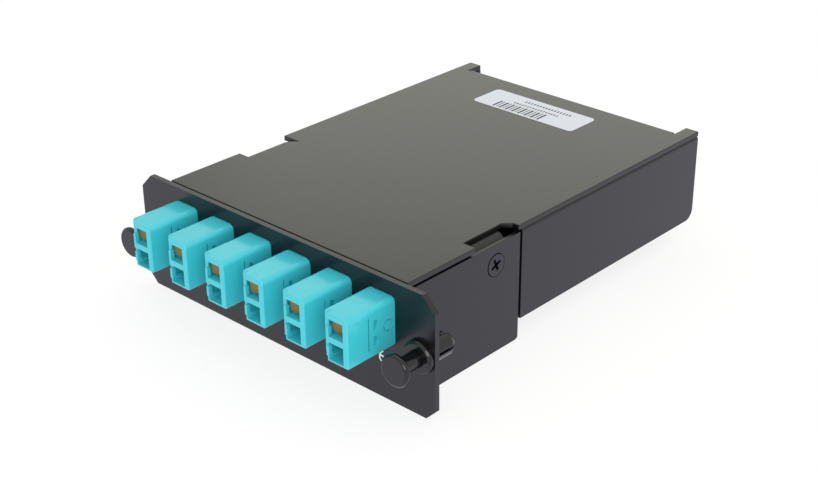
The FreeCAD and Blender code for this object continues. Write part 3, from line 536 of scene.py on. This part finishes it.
def softenedPiece(name, width):
    mesh = joinedCopy(name)
    reshape = settingFor(name, reshaping)
    if reshape:
        reshape(mesh, name)
    piece = objectFrom(mesh, name + "_finished")
    if name.startswith("lc_adapter"):
        cutHalfMoons(piece, name)
    breakEdges(piece, width)
    evenShading(piece)
    piece.data.materials.clear()
    piece.data.materials.append(finishFor(name))
    return piece


plungerBodies = {"plunger_left": "left_plunger", "plunger_right": "right_plunger"}

for name in sorted(nodes):
    width = settingFor(name, edgeRounding)
    if width:
        piece = softenedPiece(name, width)
        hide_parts(name)
        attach(piece, plungerBodies.get(name, cassette))
print("edges softened")

shutterLeaf = {
    "portLeft": 2.8,          # from the adapter's left side to the port
    "portWidth": 4.8,
    "portFloor": 6.85,
    "portHeight": 4.7,
    "side": 0.15,
    "leftGap": 0.2,
    "margin": 0.25,
    "lowerMargin": 0.65,
    "depth": 1.3,
    "slant": 1.3,
    "sheet": 0.2,
    "round": 1.5,
}
leafCornerSteps = 6


def leafOutline(low, size):
    # a strip with two rounded corners on its left
    left = low[0] + size["portLeft"] + size["leftGap"]
    right = low[0] + size["portLeft"] + size["portWidth"] - size["side"]
    bottom = low[2] + size["portFloor"] + size["lowerMargin"]
    top = low[2] + size["portFloor"] + size["portHeight"] - size["margin"]
    radius = size["round"]
    outline = [(right, bottom), (right, top)]
    for turn, (x, z) in ((90, (left + radius, top - radius)),
                         (180, (left + radius, bottom + radius))):
        for step in range(leafCornerSteps + 1):
            angle = math.radians(turn + step * 90 / leafCornerSteps)
            outline.append((x + radius * math.cos(angle), z + radius * math.sin(angle)))
    return outline, left, right


def makeShutterLeaf(number):
    # slants back from the port's left side to its right
    size = {key: value * mm for key, value in shutterLeaf.items()}
    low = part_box(f"lc_adapter_{number}")[0]
    outline, left, right = leafOutline(low, size)
    front = low[1] + size["depth"]
    mesh = bmesh.new()
    rings = []
    for extra in (0, size["sheet"]):
        rings.append([mesh.verts.new((x, front + extra + size["slant"] * (x - left)
                                      / (right - left), z)) for x, z in outline])
    closeSolid(mesh, rings[0], rings[1])
    bmesh.ops.recalc_face_normals(mesh, faces=mesh.faces)
    leaf = objectFrom(mesh, f"shutterLeaf{number}")
    leaf.data.materials.append(bronzeStrip)
    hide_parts(f"port_leaf_{number}")
    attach(leaf, cassette)


for number in adapterNumbers:
    makeShutterLeaf(number)
print("shutter leaves placed")

portNumbers = {
    "height": 4.85,           # of the type, whose figures stand 0.7 of it
    "baseline": 10.1,
    "ink": 0.02,
    "marks": {"1": -34.2, "6": 37.8},   # right-hand edge of each
}


def printNumber(text, rightEdge):
    font = bpy.data.curves.new("portNumber" + text, "FONT")
    font.body = text
    font.size = portNumbers["height"] * mm
    font.align_x = "RIGHT"
    font.extrude = portNumbers["ink"] * mm / 2
    typed = bpy.data.objects.new("typed" + text, font)
    scene.collection.objects.link(typed)
    bpy.context.view_layer.update()
    evaluated = typed.evaluated_get(bpy.context.evaluated_depsgraph_get())
    data = bpy.data.meshes.new_from_object(evaluated)
    bpy.data.objects.remove(typed)
    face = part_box("face_plate")[0][1]
    data.transform(Matrix.Translation((rightEdge * mm, face, portNumbers["baseline"] * mm))
                   @ Matrix.Rotation(math.radians(90), 4, "X"))
    data.materials.clear()
    data.materials.append(plateInk)
    mark = bpy.data.objects.new("portNumber" + text, data)
    scene.collection.objects.link(mark)
    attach(mark, cassette)


for text, rightEdge in portNumbers["marks"].items():
    printNumber(text, rightEdge)
print("port numbers printed")

# plain bars and dashes that stand for no code or word: start, end, low and high are
# shares of the label, the rest is in mm
labelPrint = {
    "bars": {"start": 0.20, "end": 0.70, "low": 0.06, "high": 0.44, "pitch": 1.2,
             "thick": 0.74, "thin": 0.36},
    "rows": ({"start": 0.30, "end": 0.78, "low": 0.51, "high": 0.59, "pitch": 1.0,
              "dash": 0.5},
             {"start": 0.36, "end": 0.84, "low": 0.72, "high": 0.81, "pitch": 1.1,
              "dash": 0.55}),
    "ink": 0.012,
}
barRunInputs = {
    "Geometry": "Geometry", "Bar count": "Int", "Pitch": "Float", "Thick bar": "Float",
    "Thin bar": "Float", "Bar length": "Float", "Ink": "Float", "Start": "Vector",
    "Material": "Material",
}


def repeatTree():
    # a run of flat bars: every second one is thinner
    tree = bpy.data.node_groups.new("barRun", "GeometryNodeTree")
    for name, kind in barRunInputs.items():
        tree.interface.new_socket(name, in_out="INPUT", socket_type="NodeSocket" + kind)
    tree.interface.new_socket("Geometry", in_out="OUTPUT",
                              socket_type="NodeSocketGeometry")
    given = tree.nodes.new("NodeGroupInput")
    step = addNode(tree, "ShaderNodeCombineXYZ", links={"X": (given, "Pitch")})
    line = addNode(tree, "GeometryNodeMeshLine", links={
        "Count": (given, "Bar count"), "Start Location": (given, "Start"),
        "Offset": (step, "Vector")})
    index = addNode(tree, "GeometryNodeInputIndex")
    odd = addNode(tree, "ShaderNodeMath", {"operation": "MODULO", 1: 2.0},
                  {0: (index, "Index")})
    width = addNode(tree, "ShaderNodeMapRange", links={
        "Value": (odd, "Value"), "To Min": (given, "Thick bar"),
        "To Max": (given, "Thin bar")})
    size = addNode(tree, "ShaderNodeCombineXYZ", links={
        "X": (width, "Result"), "Y": (given, "Bar length"), "Z": (given, "Ink")})
    block = addNode(tree, "GeometryNodeMeshCube", {"Size": (1, 1, 1)})
    placed = addNode(tree, "GeometryNodeInstanceOnPoints", links={
        "Points": (line, "Mesh"), "Instance": (block, "Mesh"), "Scale": (size, "Vector")})
    whole = addNode(tree, "GeometryNodeRealizeInstances", links={
        "Geometry": (placed, "Instances")})
    inked = addNode(tree, "GeometryNodeSetMaterial", links={
        "Geometry": (whole, "Geometry"), "Material": (given, "Material")})
    addNode(tree, "NodeGroupOutput", links={"Geometry": (inked, "Geometry")})
    return tree


barRun = repeatTree()


def grownPiece(name, tree, settings):
    # runs a Geometry Nodes tree once and keeps its mesh
    blank = bpy.data.meshes.new(name + "Seed")
    piece = bpy.data.objects.new(name, blank)
    scene.collection.objects.link(piece)
    growth = piece.modifiers.new("growth", "NODES")
    growth.node_group = tree
    sockets = {item.name: item.identifier for item in tree.interface.items_tree
               if item.item_type == "SOCKET" and item.in_out == "INPUT"}
    for key, value in settings.items():
        growth[sockets[key]] = value
    bakeModifiers(piece)
    return piece


def printRun(name, run, thick, thin):
    low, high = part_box("cover_label")
    wide, deep = high[0] - low[0], high[1] - low[1]
    pitch = run["pitch"] * mm
    piece = grownPiece(name, barRun, {
        "Bar count": int((run["end"] - run["start"]) * wide / pitch),
        "Pitch": pitch,
        "Thick bar": thick * mm,
        "Thin bar": thin * mm,
        "Bar length": (run["high"] - run["low"]) * deep,
        "Ink": labelPrint["ink"] * mm,
        "Start": (low[0] + run["start"] * wide,
                  low[1] + (run["low"] + run["high"]) / 2 * deep, high[2]),
        "Material": labelInk})
    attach(piece, cassette)


bars = labelPrint["bars"]
printRun("labelBars", bars, bars["thick"], bars["thin"])
for number, row in enumerate(labelPrint["rows"], start=1):
    printRun(f"labelDashes{number}", row, row["dash"], row["dash"])
print("label printed")

studio = {
    "floorSize": 4.0,
    "floorColour": "#fbfbfb",
    "floorRoughness": 0.9,
    "floorGlow": 0.82,                         # the rest keeps the object's shadow
    "floorReflection": (0.92, 0.89, 1.03, 1),
    "surround": (1.0, 1.0, 0.96, 1),
    "surroundStrength": 0.93,
    "backdrop": (1, 1, 1, 1),
}


def floorGlow(tree, path):
    # tinted only where the object mirrors the floor
    tint = mixedColour(tree, (path, "Is Glossy Ray"), (1, 1, 1, 1),
                       studio["floorReflection"])
    return addNode(tree, "ShaderNodeEmission", {"Strength": 1.0}, {"Color": tint})


def floorMaterial():
    material, tree = newMaterial("paleStudioFloor")
    path = addNode(tree, "ShaderNodeLightPath")
    seen = addNode(tree, "ShaderNodeMath", {"operation": "MAXIMUM"},
                   {0: (path, "Is Camera Ray"), 1: (path, "Is Transmission Ray")})
    anyView = addNode(tree, "ShaderNodeMath", {"operation": "MAXIMUM"},
                      {0: (seen, "Value"), 1: (path, "Is Glossy Ray")})
    share = addNode(tree, "ShaderNodeMath",
                    {"operation": "MULTIPLY", 1: studio["floorGlow"]},
                    {0: (anyView, "Value")})
    matt = addNode(tree, "ShaderNodeBsdfPrincipled",
                   {"Base Color": hexColour(studio["floorColour"]),
                    "Roughness": studio["floorRoughness"]})
    both = addNode(tree, "ShaderNodeMixShader", links={
        0: (share, "Value"), 1: (matt, "BSDF"), 2: (floorGlow(tree, path), "Emission")})
    addNode(tree, "ShaderNodeOutputMaterial", links={"Surface": (both, "Shader")})
    return material


def whiteStage():
    # pale floor that shows as white to the camera and keeps the shadow
    mesh = bpy.data.meshes.new("studioFloor")
    half = studio["floorSize"] / 2
    corners = [(-half, -half, 0), (half, -half, 0), (half, half, 0), (-half, half, 0)]
    mesh.from_pydata(corners, [], [(0, 1, 2, 3)])
    floor = bpy.data.objects.new("studioFloor", mesh)
    scene.collection.objects.link(floor)
    mesh.materials.append(floorMaterial())


def studioWorld():
    # an even, soft surround, and plain white where the camera looks past the floor
    world = bpy.data.worlds.new("studioWorld")
    scene.world = world
    world.use_nodes = True
    tree = world.node_tree
    tree.nodes.clear()
    path = addNode(tree, "ShaderNodeLightPath")
    soft = addNode(tree, "ShaderNodeBackground",
                   {"Color": studio["surround"], "Strength": studio["surroundStrength"]})
    seen = addNode(tree, "ShaderNodeBackground",
                   {"Color": studio["backdrop"], "Strength": 1.0})
    which = addNode(tree, "ShaderNodeMixShader", links={
        0: (path, "Is Camera Ray"), 1: (soft, "Background"), 2: (seen, "Background")})
    addNode(tree, "ShaderNodeOutputWorld", links={"Surface": (which, "Shader")})


lamps = {                     # metres and watts
    "overheadSoftbox": {"at": (-0.05, 0.1, 0.8), "lookAt": (0, 0, 0), "size": (0.9, 0.7),
                        "power": 0.8, "colour": (1.0, 1.0, 1.0)},
    "rearSoftbox": {"at": (-0.55, 0.85, 0.40), "lookAt": (0, 0, 0.02), "size": (0.8, 0.4),
                    "power": 0.55, "colour": (1.0, 1.0, 0.82)},
    "frontFill": {"at": (0.75, -0.65, 0.45), "lookAt": (0, 0, 0.02), "size": (0.7, 0.5),
                  "power": 4.0, "colour": (1.0, 1.0, 1.0)},
}


def areaLamp(name, settings):
    light = bpy.data.lights.new(name, "AREA")
    light.shape = "RECTANGLE"
    light.size, light.size_y = settings["size"]
    light.energy = settings["power"]
    light.color = settings["colour"]
    lamp = bpy.data.objects.new(name, light)
    lamp.location = settings["at"]
    aim = Vector(settings["lookAt"]) - Vector(settings["at"])
    lamp.rotation_euler = aim.to_track_quat("-Z", "Y").to_euler()
    scene.collection.objects.link(lamp)


productCamera = {
    "at": (253.7, -279.34, 200.2),      # mm
    "azimuth": 42.21,                   # degrees, as the next two
    "elevation": 26.64,
    "roll": 0.13,
    "lens": 65.32,
    "sensor": 36,
    "shift": (-0.0255, -0.0070),
    "clipStart": 0.01,
}


def placeCamera():
    data = bpy.data.cameras.new("productCamera")
    camera = bpy.data.objects.new("productCamera", data)
    scene.collection.objects.link(camera)
    data.lens = productCamera["lens"]
    data.sensor_width = productCamera["sensor"]
    data.shift_x, data.shift_y = productCamera["shift"]
    data.clip_start = productCamera["clipStart"]
    turn = Matrix.Rotation(math.radians(productCamera["azimuth"]), 4, "Z")
    tilt = Matrix.Rotation(math.radians(90 - productCamera["elevation"]), 4, "X")
    roll = Matrix.Rotation(math.radians(-productCamera["roll"]), 4, "Z")
    place = Matrix.Translation(Vector(productCamera["at"]) * mm)
    camera.matrix_world = place @ turn @ tilt @ roll
    scene.camera = camera


whiteStage()
studioWorld()
for name, settings in lamps.items():
    areaLamp(name, settings)
placeCamera()
scene.view_settings.view_transform = "Standard"
print("stage and camera placed")
